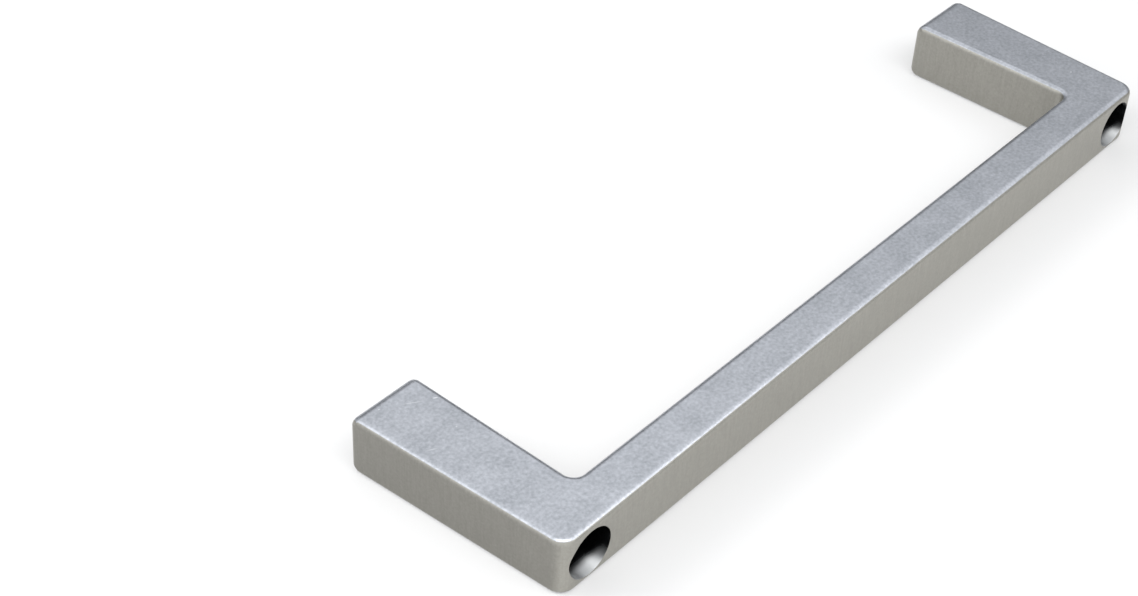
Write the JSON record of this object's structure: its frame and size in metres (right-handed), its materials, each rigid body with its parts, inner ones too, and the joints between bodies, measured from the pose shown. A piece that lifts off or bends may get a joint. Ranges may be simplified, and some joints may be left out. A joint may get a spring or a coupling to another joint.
{
  "type": "front handle",
  "caption": "Straight pull handle milled from flat metal plate: a slim grip bar with legs reaching back, each with a screw hole counterbored from the front face.",
  "frame": {"origin": "centre of the bounding box on the resting side, midway between the legs and midway between the front face and the leg ends", "axes": "+X along the grip from leg to leg, +Y from the front face towards the mounting faces, +Z through the plate thickness, up when the handle lies flat"},
  "size_m": [0.148, 0.037, 0.01],
  "materials": {
    "front_handle": "bead-blasted and clear anodised, satin, with every outer edge rounded"
  },
  "bodies": {
    "root": {"front_handle": "front_handle"}
  },
  "joints": []
}
